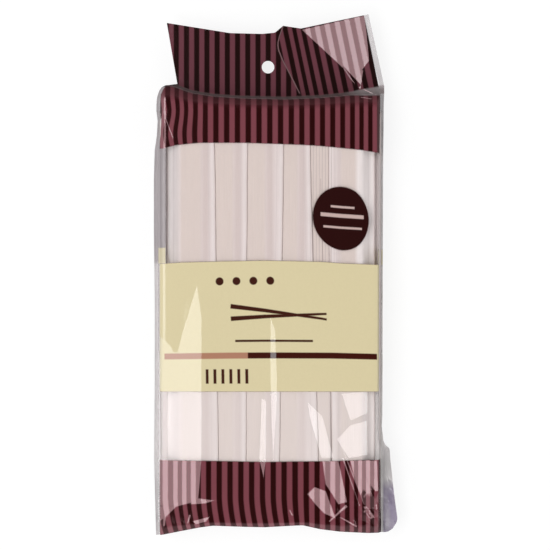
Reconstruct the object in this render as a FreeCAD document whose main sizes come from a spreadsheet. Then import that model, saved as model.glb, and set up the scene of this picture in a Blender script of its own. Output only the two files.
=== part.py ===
import FreeCAD, Part
import math
import os
import Sketcher

# A sealed film header bag of wooden chopsticks. Each pair is one blank of wood, split but still
# joined at its head, and lies in a flat paper sleeve of its own. The sleeves lie in five layers of
# six, each with a wing of loose paper over its neighbour, and the film is drawn round them.
# The bag lies on its back: X runs across it, Y towards the header, and Z up from the surface below.
# The origin is on the back of the bag, under the middle of the bundle of sleeves.

SIZES = {
    # One pair of sticks
    "pair_length": 198.0,
    "head_width": 10.6,
    "head_thickness": 4.2,
    "tip_width": 8.4,
    "tip_thickness": 3.4,
    "split_width": 0.9,
    "joined_length": 24.0,
    "point_length": 4.0,
    "point_width": 5.6,
    "point_thickness": 2.2,
    # One paper sleeve
    "paper_wall": 0.2,
    "wood_clearance": 0.15,
    "end_slack": 3.0,
    "wing_reach": 12.0,
    "wing_lift": 0.05,
    "sleeve_gap": 0.5,
    # The bundle
    "column_count": 6,
    "layer_count": 5,
    "column_pitch": 16.0,
    "layer_gap": 0.05,
    # The film and its pouch
    "film_wall": 0.3,
    "film_clearance": 0.3,
    "left_margin": 6.8,
    "right_margin": 4.25,
    "bottom_margin": 3.5,
    "top_margin": 7.0,
    "weld_width": 2.0,
    "seal_width": 1.8,
    "seal_sag": 5.3,
    "shoulder_inset": 3.3,
    "shoulder_length": 16.0,
    # The ears and the loose flap at the foot of the pouch
    "left_ear_drop": 5.0,
    "left_ear_length": 29.0,
    "right_ear_drop": 3.6,
    "right_ear_start": 12.0,
    "right_ear_length": 23.0,
    "flap_length": 44.0,
    "flap_step": 3.4,
    "flap_reach": 7.2,
    "flap_corner": 5.0,
    # The header
    "header_height": 31.2,
    "header_left_base": 47.0,
    "header_left_top": 52.3,
    "header_right_top": 48.8,
    "left_corner_rise": 5.5,
    "crease_base": 15.0,
    "crease_top": 6.3,
    "crease_rise": 3.9,
    "crease_height": 1.8,
    "kink_place": 15.0,
    "kink_rise": 2.9,
    "right_corner_rise": 10.3,
    "corner_lift": 3.0,
    "strip_width": 13.0,
    "strip_gap": 0.3,
    "hole_diameter": 6.8,
    "hole_offset": 1.5,
    "hole_height": 15.0,
    # Creases in the film over the sleeves
    "fold_height": 0.9,
    "fold_width": 7.0,
}

# Sizes that several pieces share, worked out from the sheet
BODY_HALF = "(Sizes.head_width / 2 + Sizes.wood_clearance + Sizes.paper_wall)"
BODY_TALL = "(Sizes.head_thickness + 2 * Sizes.wood_clearance + 2 * Sizes.paper_wall)"
WING_UNDER = f"({BODY_TALL} + Sizes.wing_lift)"
WING_TOP = f"({WING_UNDER} + 2 * Sizes.paper_wall)"
LAYER_PITCH = f"({WING_TOP} + Sizes.layer_gap)"
TUCKED_REACH = f"(Sizes.column_pitch - {BODY_HALF} - Sizes.sleeve_gap)"
SLEEVE_LENGTH = "(Sizes.pair_length + 2 * Sizes.end_slack)"
BUNDLE_FLOOR = "(Sizes.film_wall + Sizes.film_clearance)"
BUNDLE_HALF_WIDTH = "((Sizes.column_count - 1) / 2 * Sizes.column_pitch + Sizes.wing_reach)"
BUNDLE_TOP = f"({BUNDLE_FLOOR} + (Sizes.layer_count - 1) * {LAYER_PITCH} + {WING_TOP})"
BAG_HEIGHT = f"({BUNDLE_TOP} + Sizes.film_clearance + Sizes.film_wall)"

# Share of a wing that slopes before it lies flat
WING_SLOPE = 0.45
# A sleeve's bends, counted in thicknesses of paper
BEND_WALLS = 5
TIP_WALLS = 3
CORNER_WALLS = 0.6
# Most of a sleeve's filled volume that its paper may take
PAPER_SHARE = 0.6
# Places of the pouch's facets: on its rounded edges, across its flat, along it and up the header
ROUND_STEPS = (0.5, 0.85)
BODY_COLUMNS = 12
BODY_ROWS = 17
HEADER_ROWS = 5
# Facet columns on the left of the header's crease, counted from the left edge
CREASE_COLUMN = 10
# How far into the film the hollow of the pouch stays clear of its welded edges
HOLLOW_INSET = 0.8
# Creases over the sleeves, as shares of half the bundle's width or length from its middle
LEFT_CREASE_PLACE = 0.68
LEFT_CREASE_TOP = 0.1
MIDDLE_CREASE_FOOT = 0.8
MIDDLE_CREASE_TOP = 0.1
CORNER_CREASE_START = (0.36, 0.45)
CORNER_CREASE_END = 0.86
# How far the middle crease leans to the right at its top
MIDDLE_CREASE_LEAN = 1.5
# Decimals that tell two facet corners apart, and the tolerance that joins facets into one skin
CORNER_DECIMALS = 5
SKIN_TOLERANCE = 0.001


def new_sheet(doc):
    """The sheet that holds every size above, each under its own name."""
    sheet = doc.addObject("Spreadsheet::Sheet", "Sizes")
    for row, (name, value) in enumerate(SIZES.items(), start=1):
        sheet.set(f"A{row}", name)
        sheet.set(f"B{row}", str(value))
        sheet.setAlias(f"B{row}", name)
    doc.recompute()
    return sheet


def number(sheet, expression):
    return float(sheet.evalExpression(expression))


def profile(body, name, sheet, corners):
    """A closed outline in the body's XZ plane, each corner held by its own pair of expressions."""
    plane = next(f for f in body.Origin.OriginFeatures if f.Role == "XZ_Plane")
    sketch = body.newObject("Sketcher::SketchObject", name)
    sketch.AttachmentSupport = [(plane, "")]
    sketch.MapMode = "FlatFace"
    places = [FreeCAD.Vector(number(sheet, x), number(sheet, z), 0) for x, z in corners]
    for i, place in enumerate(places):
        sketch.addGeometry(Part.LineSegment(place, places[(i + 1) % len(places)]), False)
    for i in range(len(corners)):
        following = (i + 1) % len(corners)
        sketch.addConstraint(Sketcher.Constraint("Coincident", i, 2, following, 1))
    for i, (x, z) in enumerate(corners):
        for kind, expression in (("DistanceX", x), ("DistanceY", z)):
            value = number(sheet, expression)
            held = sketch.addConstraint(Sketcher.Constraint(kind, -1, 1, i, 1, value))
            sketch.setExpression(f"Constraints[{held}]", expression)
    return sketch


def mirrored(corners):
    return [(f"-({x})", z) for x, z in reversed(corners)]


def outer_side(wing, reach):
    """Right half of a sleeve's outside: the wood's edge with a high wing, or one that lies low."""
    if wing == "high":
        root = f"({BODY_HALF} + {WING_SLOPE} * ({reach} - {BODY_HALF}))"
        bend = f"({BODY_HALF} + {BEND_WALLS} * Sizes.paper_wall)"
        return [
            (BODY_HALF, "0"),
            (root, WING_UNDER),
            (reach, WING_UNDER),
            (reach, WING_TOP),
            (bend, WING_TOP),
            (BODY_HALF, BODY_TALL),
        ]
    return [(reach, "0"), (reach, "2 * Sizes.paper_wall"), (BODY_HALF, BODY_TALL)]


def inner_side(wing, reach):
    """Right half of a sleeve's inside, one thickness of paper within its outside."""
    roof = f"({BODY_TALL} - Sizes.paper_wall)"
    if wing == "high":
        root = f"({BODY_HALF} + {WING_SLOPE} * ({reach} - {BODY_HALF}) - 2 * Sizes.paper_wall)"
        foot = f"({BODY_HALF} - {CORNER_WALLS} * Sizes.paper_wall)"
        return [(foot, "Sizes.paper_wall"), (root, roof)]
    tip = f"({reach} - {TIP_WALLS} * Sizes.paper_wall)"
    return [(tip, "Sizes.paper_wall"), (f"({BODY_HALF} - Sizes.paper_wall)", roof)]


def wings(column, columns):
    """How the left and right wings of a column's sleeves lie. The last column laps to the left."""
    full, tucked = "Sizes.wing_reach", TUCKED_REACH
    left = ("low", full if column == 1 else tucked)
    right = ("high", full)
    if column == columns:
        return ("high", full), ("low", full)
    if column == columns - 1:
        right = ("low", tucked)
    return left, right


def column_place(column):
    return f"({column} - (Sizes.column_count + 1) / 2) * Sizes.column_pitch"


def layer_place(layer):
    return f"{BUNDLE_FLOOR} + {layer - 1} * {LAYER_PITCH}"


def paper_sleeve(doc, sheet, layer, column, columns):
    """A flattened paper tube, closed at its foot and open at its head."""
    body = doc.addObject("PartDesign::Body", f"Sleeve{layer}{column}")
    body.Label = f"paper_sleeve_{layer}_{column}"
    left, right = wings(column, columns)
    outside = profile(body, "Outside", sheet, outer_side(*right) + mirrored(outer_side(*left)))
    tube = body.newObject("PartDesign::Pad", "Tube")
    tube.Profile = outside
    tube.setExpression("Length", SLEEVE_LENGTH)
    doc.recompute()
    filled = body.Shape.Volume
    inside = profile(body, "Inside", sheet, inner_side(*right) + mirrored(inner_side(*left)))
    hollow = body.newObject("PartDesign::Pocket", "Hollow")
    hollow.Profile = inside
    hollow.Reversed = True
    hollow.setExpression("Length", f"{SLEEVE_LENGTH} - 2 * Sizes.paper_wall")
    doc.recompute()
    if body.Shape.Volume > PAPER_SHARE * filled:
        raise RuntimeError(f"{body.Label} has no hollow")
    body.setExpression("Placement.Base.x", column_place(column))
    body.setExpression("Placement.Base.y", f"{SLEEVE_LENGTH} / 2")
    body.setExpression("Placement.Base.z", layer_place(layer))
    return body


def wedge(doc, name, start, end, near, far):
    """A bar along Y from start to end, whose section goes from near to far: (x0, x1, thickness)."""
    bar = doc.addObject("Part::Wedge", name)
    sizes = {
        "Ymin": start,
        "Ymax": end,
        "Xmin": near[0],
        "Xmax": near[1],
        "X2min": far[0],
        "X2max": far[1],
        "Zmax": near[2],
        "Z2max": far[2],
    }
    bar.Zmin = 0
    bar.Z2min = 0
    for size, expression in sizes.items():
        bar.setExpression(size, expression)
    return bar


def chopstick_pair(doc, layer, column):
    """Two tapered sticks with bevelled points, joined by the last of the blank at the head."""
    name = f"Pair{layer}{column}"
    body_start = "Sizes.point_length"
    split = "Sizes.split_width / 2"
    bars = []
    for side, sign in (("Left", "-"), ("Right", "")):
        edges = {}
        for place in ("point", "tip", "head"):
            corners = [f"{sign}Sizes.{place}_width / 2", f"{sign}{split}"]
            ordered = corners if sign else corners[::-1]
            edges[place] = (*ordered, f"Sizes.{place}_thickness")
        bars.append(wedge(doc, f"{name}{side}Point", "0", body_start, edges["point"], edges["tip"]))
        bars.append(
            wedge(doc, f"{name}{side}Stick", body_start, "Sizes.pair_length", edges["tip"], edges["head"])
        )
    joint_start = "(Sizes.pair_length - Sizes.joined_length)"
    share = f"({joint_start} - Sizes.point_length) / (Sizes.pair_length - Sizes.point_length)"
    gain = "(Sizes.head_thickness - Sizes.tip_thickness)"
    thickness = f"Sizes.tip_thickness + {gain} * {share}"
    near, far = (f"-{split}", split, thickness), (f"-{split}", split, "Sizes.head_thickness")
    bars.append(wedge(doc, f"{name}Head", joint_start, "Sizes.pair_length", near, far))
    pair = doc.addObject("Part::MultiFuse", name)
    pair.Shapes = bars
    pair.Refine = True
    pair.setExpression("Placement.Base.x", column_place(column))
    pair.setExpression("Placement.Base.y", "-Sizes.pair_length / 2")
    seat = "Sizes.paper_wall + Sizes.wood_clearance"
    pair.setExpression("Placement.Base.z", f"{layer_place(layer)} + {seat}")
    return pair


def chopstick_layer(doc, layer, columns):
    """The six pairs of one layer: six separate solids in one named object."""
    group = doc.addObject("Part::Compound", f"Layer{layer}")
    group.Label = f"chopstick_pairs_layer_{layer}"
    group.Links = [chopstick_pair(doc, layer, column) for column in range(1, columns + 1)]
    return group


def rounded(share):
    """Height of a rounded edge, from 1 where it meets the flat to 0 at its foot."""
    return math.sqrt(max(0.0, 1.0 - share * share))


def clamp(value):
    return max(0.0, min(1.0, value))


def spread(first, last, count):
    return [first + (last - first) * i / (count - 1) for i in range(count)]


class Film:
    """The outline and heights of the bag, worked out from the sheet and from the bundle in it."""

    def __init__(self, sheet):
        for name in SIZES:
            setattr(self, name, number(sheet, f"Sizes.{name}"))
        self.height = number(sheet, BAG_HEIGHT)
        self.side = number(sheet, BUNDLE_HALF_WIDTH) + self.film_clearance
        self.end = number(sheet, SLEEVE_LENGTH) / 2 + self.film_clearance
        self.seam = self.height / 2
        self.left = -(self.side + self.left_margin)
        self.right = self.side + self.right_margin
        self.foot = -(self.end + self.bottom_margin)
        self.seal = self.end + self.top_margin

    def left_edge(self, y):
        """The pouch's left edge, drawn in at the shoulder below the header."""
        shoulder = self.seal + self.seal_sag - self.shoulder_length
        return self.left + self.shoulder_inset * clamp((y - shoulder) / self.shoulder_length) ** 2

    def right_edge(self, y):
        """The pouch's right edge, with the loose flap that stands out beside its foot."""
        up = y - self.foot
        if up > self.flap_length:
            return self.right
        if up < 0:
            return self.right + self.flap_reach - self.flap_corner * clamp(-up / self.right_ear_drop)
        out = clamp((self.flap_length - up) / self.flap_step)
        run = clamp((self.flap_length - up) / self.flap_length)
        return self.right + self.flap_step * out + (self.flap_reach - self.flap_step) * run

    def foot_line(self, x):
        """The bottom fold, with an ear that hangs lower at each corner."""
        left = clamp(1 - (x - self.left) / self.left_ear_length)
        right = clamp((x - self.right_ear_start) / self.right_ear_length)
        return self.foot - self.left_ear_drop * left - self.right_ear_drop * right

    def seal_line(self, x):
        """The weld that closes the pouch, which sags between the shoulders."""
        return self.seal + self.seal_sag * (x / self.right) ** 2

    def header_ends(self, up):
        """Left edge, crease and right edge of the header, from its base (0) to its top (1)."""
        left = -(self.header_left_base + (self.header_left_top - self.header_left_base) * up)
        crease = self.crease_base + (self.crease_top - self.crease_base) * up
        right = self.right + (self.header_right_top - self.right) * up
        return left, crease, right

    def top_line(self, x, column):
        """The header's top edge: it sags over the hole and steps up at the crease."""
        level = self.seal + self.header_height
        if column < CREASE_COLUMN:
            side = clamp(-(x + self.hole_offset) / (self.header_left_top - self.hole_offset))
            return level + self.left_corner_rise * side * side
        if x < self.kink_place:
            part = clamp((x - self.crease_top) / (self.kink_place - self.crease_top))
            return level + self.crease_rise + (self.kink_rise - self.crease_rise) * part
        part = (x - self.kink_place) / (self.header_right_top - self.kink_place)
        return level + self.kink_rise + (self.right_corner_rise - self.kink_rise) * part

    def header_relief(self, x, up, column):
        """How far the header stands out at the crease, and lifts towards its right corner."""
        if column < CREASE_COLUMN:
            return 0.0
        if column == CREASE_COLUMN:
            return self.crease_height * up
        part = clamp((x - self.kink_place) / (self.header_right_top - self.kink_place))
        return self.corner_lift * part * up

    def folds(self, x, y):
        """Long creases in the film over the sleeves: each runs between two places."""
        bay = -self.side * LEFT_CREASE_PLACE
        left_bay = ((bay, -self.end), (bay, self.end * LEFT_CREASE_TOP))
        middle_top = (MIDDLE_CREASE_LEAN, -self.end * MIDDLE_CREASE_TOP)
        middle = ((0.0, -self.end * MIDDLE_CREASE_FOOT), middle_top)
        start_x, start_y = CORNER_CREASE_START
        corner_end = (self.side * CORNER_CREASE_END, -self.end)
        corner = ((self.side * start_x, -self.end * start_y), corner_end)
        highest = 0.0
        for start, end in (left_bay, middle, corner):
            away = distance_to_line(x, y, start, end)
            highest = max(highest, self.fold_height * clamp(1 - away / self.fold_width))
        return highest


def distance_to_line(x, y, start, end):
    run_x, run_y = end[0] - start[0], end[1] - start[1]
    along = clamp(((x - start[0]) * run_x + (y - start[1]) * run_y) / (run_x**2 + run_y**2))
    return math.hypot(x - start[0] - along * run_x, y - start[1] - along * run_y)


def pouch_columns(film):
    """Facet columns across the pouch as (place at a given y, share of full height)."""
    columns = []
    for share in (1.0, *reversed(ROUND_STEPS)):
        columns.append(("left", share, rounded(share)))
    for x in spread(-film.side, film.side, BODY_COLUMNS):
        columns.append(("body", x, 1.0))
    for share in (*ROUND_STEPS, 1.0):
        columns.append(("right", share, rounded(share)))
    return columns


def column_x(film, column, y, inset):
    kind, value, _ = column
    if kind == "left":
        weld = film.left_edge(y) + film.weld_width + inset
        return -film.side + (weld + film.side) * value
    if kind == "right":
        weld = film.right - film.weld_width - inset
        return film.side + (weld - film.side) * value
    return value


def pouch_rows(film):
    """Facet rows along the pouch as (end it belongs to, share or place, share of full height)."""
    rows = [("foot", share, rounded(share)) for share in (1.0, *reversed(ROUND_STEPS))]
    rows += [("body", y, 1.0) for y in spread(-film.end, film.end, BODY_ROWS)]
    rows += [("seal", share, rounded(share)) for share in (*ROUND_STEPS, 1.0)]
    return rows


def row_y(film, row, x, inset):
    kind, value, _ = row
    if kind == "foot":
        return -film.end + (film.foot_line(x) + inset + film.end) * value
    if kind == "seal":
        return film.end + (film.seal_line(x) - inset - film.end) * value
    return value


def pouch_place(film, column, row, inset):
    """X and Y of a facet corner, found by settling the two outlines against each other."""
    y = row_y(film, row, 0.0, inset)
    x = column_x(film, column, y, inset)
    y = row_y(film, row, x, inset)
    return column_x(film, column, y, inset), y


def pouch_sheets(film):
    """Corner grids of the pouch's front and back, one list for each row from the foot upwards."""
    wall, seam = film.film_wall, film.seam
    front, back = [], []
    columns = pouch_columns(film)
    for row in pouch_rows(film):
        upper, lower = [], []
        places = [pouch_place(film, column, row, 0.0) for column in columns]
        for (x, y), column in zip(places, columns):
            full = column[2] * row[2]
            fold = film.folds(x, y) if full == 1.0 else 0.0
            rise = seam + wall + (film.height - seam - wall) * full + fold
            upper.append(FreeCAD.Vector(x, y, rise))
            lower.append(FreeCAD.Vector(x, y, (seam - wall) * (1 - full)))
        for line, z in ((upper, seam + wall), (lower, seam - wall)):
            first, last = line[0].y, line[-1].y
            line.insert(0, FreeCAD.Vector(film.left_edge(first), first, z))
            line.append(FreeCAD.Vector(film.right_edge(last), last, z))
        front.append(upper)
        back.append(lower)
    return front, back


def header_sheets(film, count):
    """Corner grids of the header's front and back, from its base upwards."""
    wall, seam = film.film_wall, film.seam
    front, back = [], []
    for step in range(HEADER_ROWS + 1):
        up = step / HEADER_ROWS
        left, crease, right = film.header_ends(up)
        upper, lower = [], []
        for i in range(count):
            if i <= CREASE_COLUMN:
                x = left + (crease - left) * i / CREASE_COLUMN
            else:
                x = crease + (right - crease) * (i - CREASE_COLUMN) / (count - 1 - CREASE_COLUMN)
            base = film.seal_line(x) + film.seal_width
            y = base + (film.top_line(x, i) - base) * up
            relief = film.header_relief(x, up, i)
            upper.append(FreeCAD.Vector(x, y, seam + wall + relief))
            lower.append(FreeCAD.Vector(x, y, seam - wall + relief))
        front.append(upper)
        back.append(lower)
    return front, back


def outer_sheets(film):
    """Corner grids of the whole bag's front and back: the pouch, then the header above it."""
    front, back = pouch_sheets(film)
    header_front, header_back = header_sheets(film, len(front[0]))
    return front + header_front, back + header_back


def inner_sheets(film):
    """Corner grids of the hollow in the pouch, whose front and back meet along every edge."""
    wall, seam = film.film_wall, film.seam
    columns = pouch_columns(film)
    front, back = [], []
    for row in pouch_rows(film):
        upper, lower = [], []
        for column in columns:
            x, y = pouch_place(film, column, row, HOLLOW_INSET)
            full = column[2] * row[2]
            upper.append(FreeCAD.Vector(x, y, seam + (film.height - wall - seam) * full))
            lower.append(FreeCAD.Vector(x, y, seam + (wall - seam) * full))
        front.append(upper)
        back.append(lower)
    return front, back


def facets(grid, upwards):
    """Two triangles for each cell of a grid of corners, facing up or down."""
    faces = []
    for low, high in zip(grid, grid[1:]):
        for i in range(len(low) - 1):
            a, b, c, d = low[i], low[i + 1], high[i + 1], high[i]
            pair = [(a, b, c), (a, c, d)]
            faces += pair if upwards else [corners[::-1] for corners in pair]
    return faces


def rim(front, back):
    """The corners round the edge of a grid, in order, for the front and the back."""
    loops = []
    for grid in (front, back):
        right = [row[-1] for row in grid[1:]]
        top = grid[-1][-2::-1]
        left = [row[0] for row in grid[-2:0:-1]]
        loops.append(grid[0] + right + top + left)
    return loops


def edge_facets(front, back):
    """The narrow wall between the edges of the front and the back."""
    upper, lower = rim(front, back)
    faces = []
    for i in range(len(upper)):
        j = (i + 1) % len(upper)
        faces += [(upper[i], lower[i], lower[j]), (upper[i], lower[j], upper[j])]
    return faces


def closed_solid(triangles):
    """One solid from triangles that share their corners. Two that lie back to back cancel."""
    points, index, topology = [], {}, {}
    for triangle in triangles:
        numbers = []
        for corner in triangle:
            key = tuple(round(place, CORNER_DECIMALS) for place in corner)
            if key not in index:
                index[key] = len(points)
                points.append(FreeCAD.Vector(*key))
            numbers.append(index[key])
        corners = frozenset(numbers)
        if corners in topology:
            del topology[corners]
        elif len(corners) == 3:
            topology[corners] = tuple(numbers)
    skin = Part.Shape()
    skin.makeShapeFromMesh((points, list(topology.values())), SKIN_TOLERANCE)
    solid = Part.Solid(Part.Shell(skin.Faces))
    if solid.Volume < 0:
        solid.reverse()
    return solid


def flat_panel(corners, low, high):
    """A flat panel with the given outline, between two heights."""
    outline = [FreeCAD.Vector(x, y, low) for x, y in corners]
    face = Part.Face(Part.makePolygon(outline + outline[:1]))
    return face.extrude(FreeCAD.Vector(0, 0, high - low))


def folded_strip(film):
    """The header's spare width, folded behind its left edge, a wall's thickness within the outline."""
    wall = film.film_wall
    base_x, top_x = (film.header_ends(up)[0] + wall for up in (0.0, 1.0))

    def base(x):
        return x, film.seal_line(x) + film.seal_width + wall

    def top(x):
        return x, film.top_line(x, 0) - 2 * wall

    under = film.seam - wall - film.strip_gap
    base_end, top_end = base_x + film.strip_width, top_x + film.strip_width
    corners = [base(base_x), base(base_end), top(top_end), top(top_x)]
    strip = flat_panel(corners, under - 2 * wall, under)
    corners = [base(base_x), base(base_x + 2 * wall), top(top_x + 2 * wall), top(top_x)]
    fold = flat_panel(corners, under - 2 * wall, film.seam)
    return strip.fuse(fold)


def film_bag(doc, sheet):
    """The whole bag in one piece: pouch, side welds, seal, header and bottom fold."""
    film = Film(sheet)
    front, back = outer_sheets(film)
    outer = closed_solid(facets(front, True) + facets(back, False) + edge_facets(front, back))
    front, back = inner_sheets(film)
    hollow = closed_solid(facets(front, True) + facets(back, False))
    wall = doc.addObject("Part::Feature", "FilmWall")
    wall.Shape = outer.cut(hollow).fuse(folded_strip(film))
    hole = doc.addObject("Part::Cylinder", "HangHole")
    hole.setExpression("Radius", "Sizes.hole_diameter / 2")
    hole.setExpression("Height", BAG_HEIGHT)
    hole.setExpression("Placement.Base.x", "-Sizes.hole_offset")
    seal = f"({SLEEVE_LENGTH} / 2 + Sizes.film_clearance + Sizes.top_margin)"
    hole.setExpression("Placement.Base.y", f"{seal} + Sizes.hole_height")
    bag = doc.addObject("Part::Cut", "FilmBag")
    bag.Label = "film_bag"
    bag.Base = wall
    bag.Tool = hole
    doc.recompute()
    if not bag.Shape.Volume < wall.Shape.Volume:
        raise RuntimeError("the hang hole cuts nothing")
    return bag


def checked(doc, piece, solids):
    """Stops if an object failed or a piece isn't whole."""
    for item in doc.Objects:
        if "Invalid" in item.State or "Error" in item.State:
            raise RuntimeError(f"{item.Label} failed: {item.State}")
    shape = piece.Shape
    if shape.isNull() or not shape.isValid():
        raise RuntimeError(f"{piece.Label} isn't a valid shape")
    if len(shape.Solids) != solids:
        raise RuntimeError(f"{piece.Label} has {len(shape.Solids)} solids, and not {solids}")
    return shape


def main():
    doc = FreeCAD.newDocument("HeaderBag")
    sheet = new_sheet(doc)
    columns = round(number(sheet, "Sizes.column_count"))
    layers = round(number(sheet, "Sizes.layer_count"))
    pieces = [(film_bag(doc, sheet), 1)]
    for layer in range(1, layers + 1):
        for column in range(1, columns + 1):
            pieces.append((paper_sleeve(doc, sheet, layer, column, columns), 1))
        pieces.append((chopstick_layer(doc, layer, columns), columns))
    doc.recompute()
    shapes = {piece.Label: checked(doc, piece, solids) for piece, solids in pieces}
    os.makedirs("parts", exist_ok=True)
    for label, shape in shapes.items():
        shape.exportStep(f"parts/{label}.step")
        print(label, len(shape.Solids), round(shape.Volume, 1))


main()
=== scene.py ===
"""A sealed film header bag that holds thirty pairs of wooden chopsticks in paper sleeves.

The pack lies on its back: X runs across it, Y towards the header, and Z up to the printed front.
"""

import math
from functools import reduce

import bpy
import numpy as np
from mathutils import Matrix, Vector

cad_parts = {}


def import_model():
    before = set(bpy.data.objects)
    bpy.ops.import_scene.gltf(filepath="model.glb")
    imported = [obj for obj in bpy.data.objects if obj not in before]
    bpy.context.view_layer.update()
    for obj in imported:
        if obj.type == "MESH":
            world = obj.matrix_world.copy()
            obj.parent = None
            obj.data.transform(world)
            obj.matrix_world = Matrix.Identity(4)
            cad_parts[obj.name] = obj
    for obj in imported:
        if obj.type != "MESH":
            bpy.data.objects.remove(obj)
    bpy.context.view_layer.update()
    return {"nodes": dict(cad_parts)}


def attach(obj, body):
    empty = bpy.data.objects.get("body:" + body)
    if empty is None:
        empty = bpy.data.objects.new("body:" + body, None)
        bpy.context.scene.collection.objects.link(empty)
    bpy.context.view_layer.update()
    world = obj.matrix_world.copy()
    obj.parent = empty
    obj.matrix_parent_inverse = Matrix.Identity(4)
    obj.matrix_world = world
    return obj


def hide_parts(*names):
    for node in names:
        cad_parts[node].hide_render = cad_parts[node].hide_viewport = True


MM = 0.001

# The bundle of sleeves and the film round it, in millimetres, as in the part's source
SIDE = 52.3
END = 102.3
HEIGHT = 28.15
SEAM = HEIGHT / 2
WELD = 2.0
WELD_GAP = 0.12
WELD_CLEAR = 0.4
FLAP_ROOT = 54.6
RIM_ANGLE = 50.0
EDGE_POWER = 3.2
HEADER_HEIGHT = 31.2

# Outlines as (Y, X) for the sides and (X, Y) for the ends
LEFT_EDGE = [
    (-111, -57.7), (-72.5, -58.7), (-32.5, -58.4), (7.5, -58.4), (42.5, -58.8), (67.5, -58.8),
    (82.5, -58.4), (90, -57.3), (97.5, -56.9), (103, -57.6), (107.5, -57.4), (110, -57.0),
    (112.5, -56.1), (114.3, -54.8), (115.2, -53.4),
]
RIGHT_EDGE = [
    (-110, 59.5), (-104, 63), (-102, 63.4), (-86.5, 61.4), (-73.5, 60), (-67, 59.5),
    (-65.3, 57.4), (-63, 56.3), (-56, 55.6), (-50, 55.9), (7.5, 56), (67.5, 56.2), (107, 56.6),
    (114, 57),
]
FOOT_LINE = [
    (-58, -110.4), (-55, -110.2), (-45.5, -108.3), (-35.5, -106.3), (-29, -105.4), (-13, -106),
    (-3, -106.2), (12.5, -105.3), (16, -105.2), (24.5, -107.2), (34.5, -108.5), (48.5, -109.2),
    (58.5, -108.9), (63, -106),
]
SEAL_LINE = [
    (-56.5, 112.6), (-55.2, 114.1), (-53.3, 115.1), (-50.5, 115.2), (-47, 114.2), (-43, 112.6),
    (-38.5, 111.2), (-28.6, 109.7), (-15.5, 108.8), (7, 108.2), (24.5, 109), (41.5, 110.5),
    (57, 111),
]
HEADER_BASE = [
    (-47, 115.9), (-43, 114.1), (-38.5, 112.6), (-28.6, 111.1), (-15.5, 110.2), (7, 109.7),
    (24.5, 110.5), (41.5, 112.2), (57, 114.8),
]
HEADER_TOP = [
    (-52.3, 146.5), (-35.5, 143.8), (-20.5, 141.4), (-4.5, 141.0), (2, 141.6), (6, 145),
    (15, 143.7), (48.8, 150.6),
]
HEADER_LEFT = (-47.0, -52.3)
HEADER_CREASE = (14.9, 6.0)
HEADER_RIGHT = (56.8, 48.8)
CREASE_BEND = [
    (0, 0), (0.17, -1.5), (0.34, -3.0), (0.52, -4.7), (0.66, -5.4), (0.75, -4.9), (0.85, -3.2),
    (1, 0),
]
CREASE_STEP = 0.9
CREASE_RUN = (0.5, 9.0)
CORNER_DIAGONAL = ((16, 142.5), (39.5, 120))
CORNER_SLOPE = 0.1
STRIP_WIDTH = 13.0
STRIP_HALF = 0.12
STRIP_PRINT = -47.9
HOLE_RADIUS = 3.15
HOLE_CENTRE = (-1.5, 124.3)

# Film print, in the film's own flat coordinates: s across the bag and t along it
STRIPE_PITCH = 5.425
STRIPE_START = 0.9
STRIPE_SHARE = 0.49
PRINT_ACROSS = [
    (-60, -64), (-50.15, -53.35), (-41.5, -42.5), (-31.4, -31.65), (11.5, 11.75), (21.85, 22.6),
    (32, 33.45), (41.8, 44.3), (50.55, 55.15), (64, 71.5),
]
# How far the print has moved sideways at the foot, for places across the bag
FOOT_SHIFT = [
    (-60, 0.9), (-48, 1.6), (10, 1.75), (20, 2.3), (30, 2.6), (40, 2.2), (46, 1.2), (56, 0.5),
]
FOOT_LEAN = [(-56, 2.0), (4, 1.9), (12, 1.2), (20, 0.1), (60, 0)]
# The header's print: straight left of the crease, leaning beyond it
HEADER_SCALE = 1.0585
HEADER_SHIFT = 1.02
HEADER_BEYOND = [
    (2.0, 8.5), (3.75, 10.4), (5.0, 11.75), (10.2, 17.2), (14.4, 22.6), (18.9, 28.0),
    (23.8, 33.45), (29.0, 38.9), (34.2, 44.3), (39.4, 49.7), (44.6, 55.15), (50, 60.6),
    (62, 72.5),
]
HEADER_LEAN = 0.21
LEAN_CENTRE = 135.0
SEAL_PLACE = 109.5
TOP_BAND = 85.75
CREAM_TOP = 26.5
BAR_PLACE = -20.25
CREAM_FOOT = -38.0
FOOT_BAND = -72.5
# How far the back film's print lies above the front's, and what its chart adds to s
BACK_STEP = 8.2
BACK_OFFSET = 1000.0
# Width of a printed edge, and the print's limits at both sides
PRINT_SOFT = 0.45
PRINT_LEFT = -55.4
FOOT_PRINT_RIGHT = 60.2
HEADER_PRINT_RIGHT = 60.3


def lerp(a, b, share):
    return a + (b - a) * share


def smooth(x, low, high):
    share = np.clip((np.asarray(x, float) - low) / (high - low), 0.0, 1.0)
    return share * share * (3 - 2 * share)


def along(line, x):
    return np.interp(x, [p[0] for p in line], [p[1] for p in line])


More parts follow.
